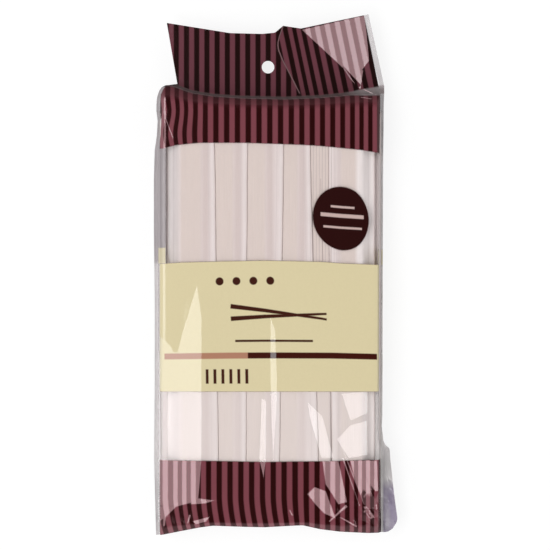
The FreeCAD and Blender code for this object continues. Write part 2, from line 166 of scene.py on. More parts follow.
class Graph:
    """Builds a node tree from short calls."""

    def __init__(self, tree):
        self.tree = tree

    def add(self, kind, inputs=None, **settings):
        node = self.tree.nodes.new(kind)
        for name, value in settings.items():
            setattr(node, name, value)
        for name, value in (inputs or {}).items():
            self.feed(node.inputs[name], value)
        return node

    def feed(self, socket, value):
        if isinstance(value, Term):
            value = value.socket
        if isinstance(value, bpy.types.NodeSocket):
            self.tree.links.new(value, socket)
        elif isinstance(value, (int, float)) and socket.type == "VECTOR":
            socket.default_value = (value,) * 3
        else:
            socket.default_value = value

    def math(self, operation, *values, clamp=False):
        node = self.add("ShaderNodeMath", operation=operation, use_clamp=clamp)
        for socket, value in zip(node.inputs, values):
            self.feed(socket, value)
        return Term(self, node.outputs[0])

    def vector(self, operation, *values, result=0):
        node = self.add("ShaderNodeVectorMath", operation=operation)
        for socket, value in zip(node.inputs, values):
            self.feed(socket, value)
        return Term(self, node.outputs[result])

    def combine(self, x=0.0, y=0.0, z=0.0):
        return Term(self, self.add("ShaderNodeCombineXYZ", {"X": x, "Y": y, "Z": z}).outputs[0])

    def split(self, vector):
        node = self.add("ShaderNodeSeparateXYZ", {0: vector})
        return [Term(self, out) for out in node.outputs]

    def blend(self, share, first, second):
        """A colour between two others."""
        node = self.add("ShaderNodeMix", data_type="RGBA")
        for index, value in ((0, share), (6, first), (7, second)):
            if isinstance(value, tuple):
                value = (*value, 1.0)
            self.feed(node.inputs[index], value)
        return Term(self, node.outputs[2])

    def noise(self, vector, scale, detail=2.0, roughness=0.5):
        settings = {"Vector": vector, "Scale": scale, "Detail": detail, "Roughness": roughness}
        node = self.add("ShaderNodeTexNoise", settings)
        return Term(self, node.outputs[0])

    def drawn_out(self, flat, share, scale, detail, roughness=0.5):
        """Noise whose grain runs along the bag: the smaller the share, the longer it is."""
        return self.noise(self.vector("MULTIPLY", flat, (1.0, share, 1.0)), scale, detail, roughness)

    def millimetres(self):
        """The shaded place on the piece, in millimetres."""
        place = self.add("ShaderNodeTexCoord").outputs["Object"]
        scaled = self.add("ShaderNodeVectorMath", {0: place, "Scale": 1 / MM}, operation="SCALE")
        return Term(self, scaled.outputs[0])

    def attribute(self, name):
        return Term(self, self.add("ShaderNodeAttribute", attribute_name=name).outputs["Fac"])

    def surface(self, shader, kind="ShaderNodeOutputMaterial"):
        self.feed(self.add(kind).inputs["Surface"], shader)

    def principled(self, settings):
        return self.add("ShaderNodeBsdfPrincipled", settings).outputs[0]

    def seen_itself(self):
        """1 where the camera sees the thing, also through film, and 0 where it only lights others."""
        path = self.add("ShaderNodeLightPath").outputs
        return Term(self, path["Is Camera Ray"]).most(Term(self, path["Is Transmission Ray"]))

    def ramp(self, source, start, end, low, high, curve="SMOOTHSTEP"):
        """Goes from low to high as the source goes from start to end."""
        node = self.add("ShaderNodeMapRange", interpolation_type=curve)
        names = ("Value", "From Min", "From Max", "To Min", "To Max")
        for name, value in zip(names, (source, start, end, low, high)):
            self.feed(node.inputs[name], value)
        return Term(self, node.outputs[0])

    def shade_mix(self, share, first, second):
        node = self.add("ShaderNodeMixShader")
        for index, value in enumerate((share, first, second)):
            self.feed(node.inputs[index], value)
        return node.outputs[0]


class Term:
    """One value in a node tree, which takes plain arithmetic."""

    def __init__(self, graph, socket):
        self.graph = graph
        self.socket = socket

    def __add__(self, other):
        return self.graph.math("ADD", self, other)

    def __sub__(self, other):
        return self.graph.math("SUBTRACT", self, other)

    def __rsub__(self, other):
        return self.graph.math("SUBTRACT", other, self)

    def __mul__(self, other):
        return self.graph.math("MULTIPLY", self, other)

    def __truediv__(self, other):
        return self.graph.math("DIVIDE", self, other)

    __radd__ = __add__
    __rmul__ = __mul__

    def size(self):
        return self.graph.math("ABSOLUTE", self)

    def least(self, other):
        return self.graph.math("MINIMUM", self, other)

    def most(self, other):
        return self.graph.math("MAXIMUM", self, other)

    def over(self, limit, soft=PRINT_SOFT):
        """0 below the limit and 1 above it, with an edge of the given width."""
        return self.graph.math("MULTIPLY_ADD", self - limit, 1 / soft, 0.5, clamp=True)

    def under(self, limit, soft=PRINT_SOFT):
        return self.graph.math("MULTIPLY_ADD", self - limit, -1 / soft, 0.5, clamp=True)

    def between(self, low, high, soft=PRINT_SOFT):
        return self.over(low, soft) * self.under(high, soft)


def empty_graph(block):
    """The node tree of a material or world with nothing in it."""
    block.use_nodes = True
    block.node_tree.nodes.clear()
    return Graph(block.node_tree)


def new_material(name):
    material = bpy.data.materials.new(name)
    return material, empty_graph(material)


def placed(name, data):
    """A new object in the scene."""
    piece = bpy.data.objects.new(name, data)
    bpy.context.scene.collection.objects.link(piece)
    return piece


def strongest(masks):
    return reduce(Term.most, masks)


# Facets of the front film that lean to the left, as outlines in millimetres
FACETS = [
    [(-56.5, -18.5), (-34.7, -18.5), (-34.9, -73), (-36.5, -92.4), (-47, -95), (-56.5, -95)],
    [(-56.5, -95), (-47, -95), (-52.2, -99.9), (-56.5, -104)],
    [(-37.2, 17), (-34.7, -1), (-34.7, -18.5), (-47, -18.5), (-44, -8.5)],
    [(-55.3, -3.5), (-50, -15.5), (-47, -18.5), (-56.2, -18.5)],
    [(-38, -91), (-28.5, -92.2), (-33, -93.6), (-40, -94)],
    [(-0.3, -1.5), (2, -7.5), (3, -32.5), (2.5, -50), (1, -70.5), (0.1, -50), (-0.4, -32.5)],
    [(-4.7, -41.5), (-2.6, -42.5), (-2.8, -72), (-3.8, -80.5), (-5.8, -72)],
    [(18, -43), (25.5, -50.5), (31, -71), (25, -71), (19.5, -51.5)],
    [(25.5, -72.5), (33.5, -72.5), (37.8, -93), (33.5, -94), (27, -84)],
    [(18, -89), (21.6, -85.5), (27.2, -87.5), (32, -101), (26.4, -98.7), (21.8, -93.8)],
    [(35, -39), (48, -38), (48, -48.5), (39.5, -52.5)],
    [(32.8, -62), (39.2, -54.8), (47.5, -52.5), (48, -69.5), (38.5, -71)],
    [(39.2, -72.3), (52.8, -72.3), (53.5, -88.3), (50.3, -96.3), (45.5, -91.5), (42.3, -83.5)],
    [(15.5, 143), (46.6, 150), (47.6, 142.5), (49, 127.5), (44.5, 121.5), (37.5, 122.5)],
    [(36, 124), (46, 122.6), (45, 114), (44.6, 113.3), (40.4, 117.6)],
    [(-39, -102.5), (-30.8, -100.4), (-32.5, -102.6), (-37.5, -104)],
]
# Narrow creases that catch the lamp: start, end, and width at both
GLINTS = [
    ((-54.6, 108), (-52.6, 98), (0.15, 0.2)),
    ((-52.6, 98), (-48.8, 88), (0.2, 0.25)),
    ((-40.4, -99.4), (-41.6, -103.6), (0.9, 0.4)),
    ((28.8, -102.7), (37.6, -94.7), (0.5, 1.2)),
    ((32.8, -60.0), (46.6, -94.0), (0.3, 0.8)),
    ((35.6, -70.8), (44.0, -94.7), (0.7, 0.3)),
    ((34.4, -100.6), (42.6, -105.2), (0.3, 0.8)),
    ((47.2, -97.6), (50.8, -105.6), (1.0, 0.5)),
    ((43.4, -101.6), (47.6, -96.2), (0.4, 0.9)),
    ((9.2, -97.0), (10.6, -99.6), (0.4, 0.7)),
    ((46.4, 113.2), (52.6, 110.2), (0.6, 0.4)),
    ((44.6, 108.6), (50.2, 107.6), (0.5, 0.3)),
]
# A dark pleat that splits the header's bright facet
PLEAT = ((36.0, 124.8), (44.4, 114.6), (0.3, 1.9))
# Slope of a facet at the middle of the bag, and what each millimetre to the right adds to it
FACET_LEAN = 0.157
FACET_LEAN_ACROSS = 0.0006
GLINT_SOFT = 0.4
# Where the film is crushed: limit and softness across, the same along, and strength
CRUSHED = [
    ((36, 24), (-76, 30), 1.0),
    ((45, 6), (-88, 8), 3.0),
]
FOOT_CRUSH = ((-101, 6), 0.25)
WELD_CRUSH = 0.15
# How far the shading of the film's drawn-down edges is raised towards its flat face
RAISED = 0.75
# The same for the header's crease, whose light line is a painted highlight on its print
CREASE_RAISED = 30.0
FILM_INDEX = 1.55

DARK_STRIPE = (0.02, 0.0016, 0.0014)
ROSE_STRIPE = (0.205, 0.054, 0.07)
HEADER_DARK_STRIPE = (0.0105, 0.0028, 0.0022)
HEADER_ROSE_STRIPE = (0.145, 0.043, 0.058)
CREAM_TONES = ((0.7, 0.61, 0.375), (0.735, 0.645, 0.4))
BAR_TONES = ((0.44, 0.215, 0.14), (0.048, 0.006, 0.003))
MARK_TONE = (0.05, 0.011, 0.006)
SPOT_TONES = ((0.022, 0.0035, 0.003), (0.58, 0.43, 0.4))
WELD_TONES = ((0.125, 0.094, 0.093), (0.3, 0.27, 0.27))
# Painted highlight: the light line along the header's crease
CREASE_PAINTED_HIGHLIGHT = (0.24, 0.15, 0.155)
# Milky film: plain, grey with painted shade where the bag's shaded inside shows through, over cream, along
# the right side and on the flap
MILK = (0.62, 0.585, 0.59)
PAINTED_SHADE_MILK = (0.35, 0.31, 0.325)
CREAM_MILK = (0.7, 0.62, 0.4)
PALE_MILK = (0.84, 0.8, 0.79)
FLAP_MILK = (0.29, 0.235, 0.36)

# The bar across the band, and where along it the colour changes
BAR_HALF = 1.5
BAR_SPAN = (-57.5, 57.2)
BAR_CHANGE = -12.8
# Plain marks on the band: two sticks as start, end and width at both, then dots, a line and a tally
STICKS = [
    ((-21, 4.2), (27.5, -2.2), (2.3, 1.1)),
    ((-21, -2.0), (27.5, 0.6), (2.3, 1.1)),
]
DOT_SPAN = (-30.5, 3.5)
DOT_PITCH = 8.5
DOT_PLACE = 16.6
DOT_RADIUS = 2.0
LINE_SPAN = (-19, 20)
LINE_PLACE = -13.0
LINE_HALF = 0.55
TALLY_SPAN = (-35.5, -11.5)
TALLY_PITCH = 4.0
TALLY_PLACE = -30.5
TALLY_HALF = (0.75, 3.6)
ROW_SOFT = 0.1
SPOT_CENTRE = (37.1, 49.5)
SPOT_RADII = (15.7, 16.3)
# Pale lines in the spot, as start, end and width at both
SPOT_LINES = [
    ((31, 55.4), (44, 55.4), (1.1, 1.1)),
    ((25.6, 50.9), (49.6, 50.9), (1.9, 1.9)),
    ((27, 44.8), (48.5, 44.8), (1.1, 1.1)),
]


def facet_mask(g, place, outline):
    """1 inside a convex outline given clockwise, and 0 outside it."""
    sides = []
    for (x0, y0), (x1, y1) in zip(outline, outline[1:] + outline[:1]):
        run = math.hypot(x1 - x0, y1 - y0)
        inward = ((y1 - y0) / run, -(x1 - x0) / run)
        reach = inward[0] * x0 + inward[1] * y0
        sides.append(g.vector("DOT_PRODUCT", place, (*inward, -reach), result=1))
    return reduce(Term.least, sides).over(0.0)


def stripes(g, s, header, seal_slope_shade):
    """The striped print of both ends: dark brown and rose, softer and browner in the header, and muted
    towards dark on the slope below the seal as painted shade.
    """
    phase = g.math("FRACT", (s - STRIPE_START) / STRIPE_PITCH)
    rose = (phase - STRIPE_SHARE / 2).size()
    rose = rose.least(1 - rose).under(STRIPE_SHARE / 2, 0.11)
    # Painted shade: the stripes are muted towards dark on the slope below the seal
    rose = rose + (0.2 - rose) * seal_slope_shade * 0.5
    dark = g.blend(header, DARK_STRIPE, HEADER_DARK_STRIPE)
    light = g.blend(header, ROSE_STRIPE, HEADER_ROSE_STRIPE)
    return g.blend(rose, dark, light), rose


def ring(g, s, t, centre, radii, soft=PRINT_SOFT):
    """1 inside an ellipse and 0 outside it."""
    across = (s - centre[0]) / radii[0]
    up = (t - centre[1]) / radii[1]
    reach = g.math("SQRT", across * across + up * up)
    return reach.under(1.0, soft / radii[1])


def stick_mark(g, s, t, start, end, widths, soft=PRINT_SOFT):
    """A slim bar that tapers from start to end."""
    run = math.hypot(end[0] - start[0], end[1] - start[1])
    ahead = ((end[0] - start[0]) / run, (end[1] - start[1]) / run)
    aside = (-ahead[1], ahead[0])
    place = g.combine(s - start[0], t - start[1])
    forward = g.vector("DOT_PRODUCT", place, (*ahead, 0.0), result=1)
    across = g.vector("DOT_PRODUCT", place, (*aside, 0.0), result=1)
    half = forward * ((widths[1] - widths[0]) / 2 / run) + widths[0] / 2
    return (half - across.size()).over(0.0, soft) * forward.between(0.0, run, soft)


def stick_marks(g, s, t, sticks, soft=PRINT_SOFT):
    return strongest([stick_mark(g, s, t, *stick, soft) for stick in sticks])


def from_middle(g, s, start, pitch):
    """Distance from the middle of each step of a row, in millimetres."""
    return (g.math("FRACT", (s - start) / pitch) - 0.5) * pitch


def band_marks(g, s, t):
    """Plain marks on the band: a pair of sticks, a row of dots, a line and a tally of short bars."""
    dot, up = from_middle(g, s, DOT_SPAN[0], DOT_PITCH), t - DOT_PLACE
    dots = g.math("SQRT", dot * dot + up * up).under(DOT_RADIUS)
    line = (t - LINE_PLACE).size().under(LINE_HALF)
    tally = from_middle(g, s, TALLY_SPAN[0], TALLY_PITCH).size().under(TALLY_HALF[0])
    tally = tally * (t - TALLY_PLACE).size().under(TALLY_HALF[1])
    return strongest([
        stick_marks(g, s, t, STICKS),
        dots * s.between(*DOT_SPAN, ROW_SOFT),
        line * s.between(*LINE_SPAN),
        tally * s.between(*TALLY_SPAN, ROW_SOFT),
    ])


def film_print(g, x, s, t, front, fibre, haze):
    """Colour and cover of everything printed on the film, and where it is rose or cream."""
    header = t.over(SEAL_PLACE + 1.5, 2.0)
    # Where shade is painted on the film's slope below the seal
    seal_slope_shade = t.between(SEAL_PLACE - 5.0, SEAL_PLACE + 0.5, 2.5)
    colour, rose = stripes(g, s, header, seal_slope_shade)
    back_cream = t.between(CREAM_FOOT + BACK_STEP, CREAM_TOP + BACK_STEP) * (1 - front)
    cream = back_cream.most(t.between(CREAM_FOOT, CREAM_TOP) * front)
    colour = g.blend(cream, colour, g.blend(fibre, *CREAM_TONES))
    bar = (t - BAR_PLACE).size().under(BAR_HALF) * front * s.between(*BAR_SPAN)
    colour = g.blend(bar, colour, g.blend(s.over(BAR_CHANGE), *BAR_TONES))
    colour = g.blend(band_marks(g, s, t) * front, colour, MARK_TONE)
    spot = ring(g, s, t, SPOT_CENTRE, SPOT_RADII) * front
    pale = stick_marks(g, s, t, SPOT_LINES)
    colour = g.blend(spot, colour, g.blend(pale, *SPOT_TONES))

    foot = t.under(FOOT_BAND)
    band = t.over(TOP_BAND).most(foot)
    cover = band.most(cream).most(spot)
    right_limit = s.under(FOOT_PRINT_RIGHT).most(1 - foot)
    pouch_limit = haze.under(0.72, 0.2) * right_limit * x.over(PRINT_LEFT)
    limit = pouch_limit * (1 - header) + s.under(HEADER_PRINT_RIGHT) * header
    return colour, cover * limit, rose * band, cream


def leaning(g, x, y, front):
    """1 on the front film's bright facets and creases, and 0 elsewhere."""
    place = g.combine(x, y, 1.0)
    facets = strongest([facet_mask(g, place, outline) for outline in FACETS])
    lean = facets.most(stick_marks(g, x, y, GLINTS, GLINT_SOFT))
    return lean * (1 - stick_mark(g, x, y, *PLEAT, GLINT_SOFT)) * front


def shards(g, place, scale):
    """Two random slopes from -0.5 to 0.5, the same all over each shard of crushed film."""
    cells = g.add("ShaderNodeTexVoronoi", {"Vector": place, "Scale": scale, "Randomness": 1.0})
    red, green, _ = g.split(cells.outputs["Color"])
    return red - 0.5, green - 0.5


def film_surface(g, flat, front, haze, creased):
    """The film's shading normal: leaning facets, crushed shards, and soft waves between them."""
    x, y, _ = g.split(flat)
    lean = leaning(g, x, y, front)
    crushed = [x.over(*right) * y.under(*low) * strength for right, low, strength in CRUSHED]
    crowd = strongest([haze * WELD_CRUSH, y.under(*FOOT_CRUSH[0]) * FOOT_CRUSH[1], *crushed]) * front
    wander = g.noise(flat, 0.12, 2.0)
    slant = g.combine(x * 0.8 + y * 0.55 + wander * 5.0, y * 0.26 - x * 0.2 + wander * 3.0)
    cross = g.combine(x * 0.3 - y * 0.2, y * 0.9 + x * 0.5 + wander * 4.0)
    large, fine = shards(g, slant, 0.3), shards(g, cross, 0.45)
    large_tilt, fine_tilt = crowd * 0.3 + 0.016, crowd * 0.22
    tilt_x, tilt_y = [big * large_tilt + small * fine_tilt for big, small in zip(large, fine)]
    raised = (front * 2.0 - 1.0) * RAISED + haze.over(0.06, 0.06) * creased * CREASE_RAISED
    normal = Term(g, g.add("ShaderNodeNewGeometry").outputs["Normal"])
    normal = g.vector("ADD", normal, g.combine(tilt_x, tilt_y, raised))
    aim = g.combine(0 - (x * FACET_LEAN_ACROSS + FACET_LEAN) + tilt_x * 0.5, tilt_y * 0.5, 1.0)
    turn = g.vector("MULTIPLY", g.vector("SUBTRACT", aim, normal), g.combine(lean, lean, lean))
    normal = g.vector("NORMALIZE", g.vector("ADD", normal, turn))
    waves = g.noise(g.vector("MULTIPLY", flat, (1.0, 0.25, 0.5)), 0.35, 3.0) * (1 - lean * 0.7)
    settings = {"Strength": 0.12, "Distance": 0.0004, "Height": waves, "Normal": normal}
    return g.add("ShaderNodeBump", settings).outputs[0]


def film_milk(g, flat, t, front, haze, normal):
    """Milky film where its folds and welds stack up, greyed by painted shade at the top and the left: its
    share and its shader.
    """
    x, _, _ = g.split(flat)
    on_left = x.under(0.0, 1.0)
    # Painted shade: the milk turns grey over the top band and the upper left, and half so at the lower left
    painted_shade = t.over(TOP_BAND, 3.0).most(t.over(CREAM_TOP, 3.0) * on_left)
    painted_shade = painted_shade.most(t.under(FOOT_BAND - 8.0, 8.0) * on_left * 0.5)
    left_side = x.under(-52.4, 0.5) * front
    both_sides = left_side.most(x.over(53.4, 0.5) * front)
    seen_cream = both_sides * x.over(-56.2, 0.6) * t.between(CREAM_TOP, CREAM_TOP + BACK_STEP, 0.6)
    pale_side = x.over(51.9, 0.5) * t.under(CREAM_FOOT, 4.0) * front
    flap = x.over(56.2, 1.0) * t.under(FOOT_BAND + 6.0, 3.0) * front
    tone = g.blend(painted_shade, MILK, PAINTED_SHADE_MILK)
    tone = g.blend(seen_cream * 0.9, tone, CREAM_MILK)
    tone = g.blend(pale_side, tone, PALE_MILK)
    tone = g.blend(flap, tone, MILK)
    tone = g.blend(flap * t.under(FOOT_BAND - 13.0, 5.0), tone, FLAP_MILK)
    cloudy = g.drawn_out(flat, 0.2, 0.35, 2.0)
    share = (haze * (0.4 + cloudy * 0.3)).most(left_side * painted_shade * 0.72).most(seen_cream * 0.85)
    share = share.most(pale_side * (cloudy * 0.7 + 0.15))
    share = share * (1 - flap) + flap * (cloudy.over(0.45, 0.5) * 0.45 + 0.45)
    return share, g.principled({"Base Color": tone, "Roughness": 0.35, "Normal": normal})


def clear_film(g, normal):
    """Clear film: light passes straight through, tinted where it is seen edge on, and it mirrors."""
    edge_on = Term(g, g.add("ShaderNodeLayerWeight", {"Blend": 0.5}).outputs["Facing"])
    tint = g.blend(edge_on * edge_on * edge_on, (0.99, 0.978, 0.978), (0.72, 0.69, 0.7))
    clear = g.add("ShaderNodeBsdfTransparent", {"Color": tint})
    shine = {"Color": (1.0, 0.96, 0.97, 1.0), "Roughness": 0.1, "Normal": normal}
    gloss = g.add("ShaderNodeBsdfGlossy", shine)
    inside = Term(g, g.add("ShaderNodeNewGeometry").outputs["Backfacing"])
    index = FILM_INDEX - inside * (FILM_INDEX - 1 / FILM_INDEX)
    mirror = g.add("ShaderNodeFresnel", {"IOR": index, "Normal": normal})
    return g.shade_mix(mirror.outputs[0], clear.outputs[0], gloss.outputs[0])


def film_material():
    """Clear glossy film with its print: opaque where it is printed, and clear elsewhere."""
    material, g = new_material("film")
    raw, t, _ = g.split(g.add("ShaderNodeUVMap", uv_map="film").outputs[0])
    back = g.math("GREATER_THAN", raw, BACK_OFFSET / 2)
    s = raw - back * BACK_OFFSET
    front = 1 - back
    flat = g.millimetres()
    x, _, _ = g.split(flat)
    haze = g.attribute("haze")
    creased = x.under(30.0, 1.0) * t.over(SEAL_PLACE + 2.5, 1.0) * front
    normal = film_surface(g, flat, front, haze, creased)

    colour, cover, rose, cream = film_print(g, x, s, t, front, g.noise(flat, 0.9, 4.0), haze)
    weld_line = (t - SEAL_PLACE - 0.4).size().under(s.over(46, 8) * 0.4 + 1.0, 0.7)
    colour = g.blend(weld_line * 0.85, colour, g.blend(s.over(46, 10), *WELD_TONES))
    # Painted highlight along the header's crease, in place of the reflection that its raised shading normal
    # takes away
    colour = g.blend(haze.over(0.42, 0.3) * creased * 0.9, colour, CREASE_PAINTED_HIGHLIGHT)

    def ink(level, tint):
        shine = {"Roughness": 0.1, "Specular IOR Level": level, "Specular Tint": (*tint, 1.0)}
        return g.principled({"Base Color": colour, "Normal": normal, **shine})

    printed = g.shade_mix(rose, ink(0.7, (1.0, 0.6, 0.64)), ink(1.0, (1.0, 0.84, 0.86)))
    printed = g.shade_mix(cream, printed, ink(0.5, (0.95, 0.97, 1.0)))
    share, milk = film_milk(g, flat, t, front, haze, normal)
    sheet = g.shade_mix(share, clear_film(g, normal), milk)
    g.surface(g.shade_mix(cover, sheet, printed))
    return material


# Paper tones, among them painted light and shade: a painted highlight on the doubled edge, painted light on
# the outer and lower sleeves, and painted shadows at wraps, edges, crimps and cracks
PAPER = (0.835, 0.75, 0.735)
PAPER_OVER_WOOD = (0.77, 0.668, 0.618)
WRAP_SHADOW = (0.64, 0.53, 0.505)
DOUBLE_PAPER_AND_HIGHLIGHT = (0.89, 0.82, 0.81)
OUTER_PAINTED_LIGHT = (0.97, 0.92, 0.91)
GLUE_LINE = (0.6, 0.52, 0.52)
EDGE_STEP_SHADOW = (0.62, 0.5, 0.46)
CRIMP_SHADOW = (0.56, 0.47, 0.45)
CRACK_SHADOW = (0.3, 0.2, 0.19)
FIBRE_SHADOW = (0.69, 0.6, 0.57)
FIBRE_LIGHT = (0.86, 0.8, 0.78)
LOWER_PAINTED_LIGHT = (0.88, 0.82, 0.79)
# The crimped wing between two columns, in X, and a dark crack beside it as start, end and widths
CRIMPED = (19.5, 31.5)
CRACK = ((24.7, 68), (25.8, 27), (0.2, 0.4))


def paper_material():
    """Thin white paper, beige where it lies on the wood, bright along its folded edges where it lies double
    and a highlight is painted, with painted light on the outer and lower sleeves and painted shadows beside
    its edges.
    """
    material, g = new_material("paper")
    across, edge = g.attribute("across"), g.attribute("to_edge")
    flat = g.millimetres()
    x, y, _ = g.split(flat)

    grain = g.drawn_out(flat, 0.12, 0.55, 4.0)
    mottle = g.drawn_out(flat, 0.4, 0.9, 3.0)
    ribs = g.drawn_out(flat, 0.05, 1.1, 2.0)
    wrap = (across - 7.3).size().under(1.9, 2.2).most((across + 6.2).size().under(0.9, 1.8) * 0.5)
    # Painted light: the outer sleeves' sloping wings, which the lamps leave darker, are lifted towards
    # white
    outer = x.under(-46.5, 4.0).most(x.between(42.5, 51.0, 2.0) * 0.9) * y.over(0.0, 10.0)
    outer = outer.most(x.between(46.0, 54.0, 2.0) * y.under(-30.0, 8.0) * 0.9)
    crimp = g.math("SINE", x * 4.2 + ribs * 2.0).over(0.35, 0.8)
    crimp = crimp * x.between(*CRIMPED, 1.5) * y.over(10.0, 5.0)
    layers = [
        (across.size().under(5.2, 1.6), PAPER_OVER_WOOD),
        (wrap * 0.7, WRAP_SHADOW),
        # Doubled paper along the wing's edge, with a painted highlight on it
        (edge.under(2.3, 0.8) * 0.6, DOUBLE_PAPER_AND_HIGHLIGHT),
        # Painted light on the outer sleeves
        (outer, OUTER_PAINTED_LIGHT),
        ((edge - 3.5).size().under(0.25, 0.4) * 0.3, GLUE_LINE),
        # Painted shadow where a wing's edge steps down onto the next sleeve
        (edge.under(0.7, 0.9) * 0.4, EDGE_STEP_SHADOW),
        (crimp * 0.6, CRIMP_SHADOW),
        (stick_mark(g, x, y, *CRACK, GLINT_SOFT) * 0.75, CRACK_SHADOW),
        (grain.over(0.55, 0.5) * 0.3, FIBRE_SHADOW),
        (mottle * 0.15, FIBRE_LIGHT),
        # Painted light: the paper of the lower window is brighter
        (y.under(-30.0, 24.0) * 0.35, LOWER_PAINTED_LIGHT),
    ]
    tone = PAPER
    for share, shade in layers:
        tone = g.blend(share, tone, shade)
    bump = g.add("ShaderNodeBump", {"Strength": 0.35, "Distance": 0.0003, "Height": ribs})
    shine = {"Roughness": 0.62, "Specular IOR Level": 0.35}
    g.surface(g.principled({"Base Color": tone, "Normal": bump.outputs[0], **shine}))
    return material


def wood_material():
    """Pale split wood with fine straight grain along the sticks."""
    material, g = new_material("wood")
    flat = g.millimetres()
    grain = g.drawn_out(flat, 0.03, 1.6, 5.0, 0.62)
    bands = g.drawn_out(flat, 0.01, 0.22, 2.0)
    tone = g.blend(bands, (0.56, 0.38, 0.2), (0.68, 0.49, 0.28))
    tone = g.blend(grain.over(0.58, 0.35) * 0.5, tone, (0.42, 0.27, 0.13))
    bump = g.add("ShaderNodeBump", {"Strength": 0.3, "Distance": 0.0002, "Height": grain})
    g.surface(g.principled({"Base Color": tone, "Roughness": 0.6, "Normal": bump.outputs[0]}))
    return material


# Shares of the flat welds beyond the left and the right edge that carry a column of corners
LEFT_FLAT = (1.0, 0.5)
RIGHT_FLAT = (0.2, 0.5, 0.75, 1.0)


def stations():
    """Columns of the film: (kind, share of the rounded edge or X in millimetres)."""
    arc = [math.sin(math.radians(a)) for a in (90, 84, 76, 66, 54, 41, 28, 14)]
    # Close together across the hang hole and beside the header's crease
    body = np.concatenate([
        np.linspace(-SIDE, -6.3, 51),
        np.arange(-5.5, 8.1, 0.5),
        np.linspace(8.7, 13.4, 6),
        [14.1, 14.5, HEADER_CREASE[0], 15.3, 15.7],
        np.linspace(16.4, SIDE, 40),
    ])
    columns = [("left_flat", share) for share in LEFT_FLAT]
    columns += [("left", a) for a in arc]
    columns += [("body", x) for x in body]
    columns += [("right", a) for a in reversed(arc)]
    return columns + [("right_flat", share) for share in RIGHT_FLAT]


def rows():
    """Rows of the pouch: (kind, share of the rounded end or Y in millimetres)."""
    arc = [math.sin(math.radians(a)) for a in (90, 82, 72, 60, 46, 32, 16)]
    found = [("foot", a) for a in arc]
    found += [("body", y) for y in np.linspace(-END, END, 226)]
    return found + [("seal", a) for a in reversed(arc)]


def rounded(share):
    """Height of the film's edge that is drawn down from the bundle to the seam."""
    return max(0.0, 1 - share ** EDGE_POWER) ** (1 / EDGE_POWER)


def pouch_grid():
    """X, Y and share of full height for every corner of the pouch, found by settling its outlines."""
    columns, lines = stations(), rows()
    xs = np.zeros((len(lines), len(columns)))
    ys = np.zeros_like(xs)
    full = np.ones_like(xs)
    for _ in range(6):
        for j, (kind, value) in enumerate(lines):
            if kind == "body":
                ys[j] = value
            elif kind == "foot":
                ys[j] = lerp(-END, along(FOOT_LINE, xs[j]), value)
            else:
                ys[j] = lerp(END, along(SEAL_LINE, xs[j]), value)
        for i, (kind, value) in enumerate(columns):
            left, right = along(LEFT_EDGE, ys[:, i]), along(RIGHT_EDGE, ys[:, i])
            inner_left = np.minimum(left + WELD, -SIDE - WELD_CLEAR)
            inner_right = np.clip(right - WELD, SIDE + WELD_CLEAR, FLAP_ROOT)
            if kind == "left_flat":
                xs[:, i] = lerp(inner_left, left, value)
            elif kind == "left":
                xs[:, i] = lerp(-SIDE, inner_left, value)
            elif kind == "right":
                xs[:, i] = lerp(SIDE, inner_right, value)
            elif kind == "right_flat":
                xs[:, i] = lerp(inner_right, right, value)
            else:
                xs[:, i] = value
    for i, (kind, value) in enumerate(columns):
        if kind != "body":
            full[:, i] *= 0.0 if kind.endswith("flat") else rounded(value)
    for j, (kind, value) in enumerate(lines):
        if kind != "body":
            full[j] *= rounded(value)
    return xs, ys, full


def tent(x, y, start, end, height, width):
    """A long low ridge between two places."""
    run = np.array(end, float) - np.array(start, float)
    share = np.clip(((x - start[0]) * run[0] + (y - start[1]) * run[1]) / (run @ run), 0, 1)
    away = np.hypot(x - start[0] - share * run[0], y - start[1] - share * run[1])
    return height * np.clip(1 - away / width, 0, None)


# Ridges of the film over the sleeves: start, end, height and half width
RIDGES = [
    ((-34.7, -83), (-34.7, 2), 0.5, 9.0),
    ((1.2, -72), (1.2, -6), 0.15, 4.0),
    ((17, -42), (34, -76), 0.2, 5.0),
    ((34, -74), (45, -100), 0.3, 4.0),
    ((47, -38), (49, -96), 0.2, 5.0),
]


def relief(x, y):
    """How the film over the sleeves stands off its flat: ridges, sags and small waves."""
    high = np.max([tent(x, y, *ridge) for ridge in RIDGES], axis=0)
    sag = 0.012 * np.sin(x / 16 * 2 * math.pi + 0.6) + 0.05 * np.sin(y / 23 + x / 29)
    left_slope = 0.12 * smooth(-x, 35, 52) * smooth(-y, 5, 25)
    crush = smooth(x, 20, 50) * smooth(-y, 60, 95)
    small = 0.22 * np.sin(x * 1.3 + y * 0.9) * np.sin(y * 0.62 - x * 0.4) * crush
    return high + sag - left_slope + small


def header_levels():
    """Rows of the header as shares of its height, close together beside the hang hole."""
    below, above = np.linspace(0, 8.2, 10), np.linspace(20, HEADER_HEIGHT, 13)
    return np.concatenate([below, np.arange(9.0, 19.1, 0.5), above]) / HEADER_HEIGHT


def corner_lift(x, y):
    """How far the header's lower right corner stands up past its diagonal."""
    (x0, y0), (x1, y1) = CORNER_DIAGONAL
    past = ((x - x0) * (y0 - y1) + (y - y0) * (x1 - x0)) / math.hypot(x1 - x0, y1 - y0)
    return CORNER_SLOPE * np.clip(past, 0, None)


